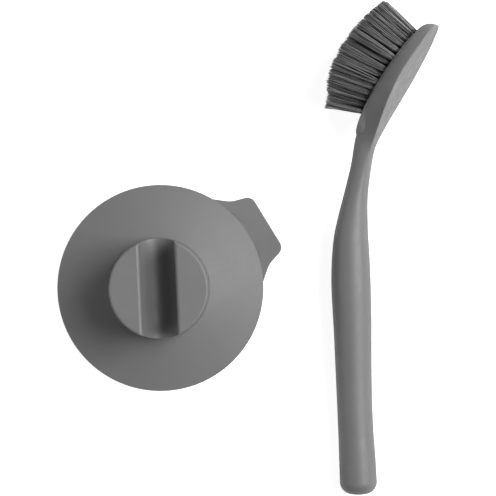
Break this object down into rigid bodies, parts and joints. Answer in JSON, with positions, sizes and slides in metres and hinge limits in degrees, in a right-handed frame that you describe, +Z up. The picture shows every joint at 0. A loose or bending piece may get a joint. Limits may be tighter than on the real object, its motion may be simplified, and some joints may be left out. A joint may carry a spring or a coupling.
{
  "type": "dish brush",
  "caption": "Long-handled dish brush lying beside its suction-cup holder, a soft cone with a release tab and a slotted turning knob that the brush neck drops into.",
  "frame": {"origin": "under the middle of the brush and its holder, on the surface that they lie on", "axes": "+Z up from the surface; +Y along the grip towards the head of the brush; +X from the holder towards the brush"},
  "size_m": [0.1894, 0.244, 0.0538],
  "materials": {
    "cup": "satin soft moulding",
    "knob": "fine matte moulding",
    "handle": "fine matte moulding",
    "bristles": "drawn filament",
    "anchors": "drawn flat wire"
  },
  "bodies": {
    "cup": {"cup_skirt": "cup"},
    "hub": {"cup_hub": "cup"},
    "knob": {"knob": "knob"},
    "tab": {"release_tab": "cup"},
    "brush": {"handle": "handle", "tuft_row_01": "bristles", "tuft_row_02": "bristles", "tuft_row_03": "bristles", "tuft_row_04": "bristles", "tuft_row_05": "bristles", "tuft_row_06": "bristles", "tuft_row_07": "bristles", "tuft_row_08": "bristles", "tuft_row_09": "bristles", "tuft_row_10": "bristles", "tuft_row_11": "bristles", "tuft_row_12": "bristles", "tuft_row_13": "bristles", "tuft_row_14": "bristles", "tuft_anchors": "anchors"}
  },
  "joints": [
    {"name": "cup_press", "type": "slide", "parent": "cup", "child": "hub", "axis": [0, 0, -1], "range_m": [0, 0.005], "stiffness_N_per_m": 1500, "deforming": ["cup_skirt"]},
    {"name": "knob_turn", "type": "hinge", "parent": "hub", "child": "knob", "pos_m": [-0.04317, -0.01965, 0.012], "axis": [0, 0, 1], "continuous": true},
    {"name": "tab_lift", "type": "hinge", "parent": "cup", "child": "tab", "pos_m": [-0.0048, 0.00386, 0.0007], "axis": [0.5225, -0.8526, 0], "range_deg": [0, 60], "stiffness_Nm_per_rad": 0.02},
    {"name": "brush_lift", "type": "slide", "parent": "cup", "child": "brush", "axis": [0, 0, 1], "range_m": [0, 0.08]}
  ]
}
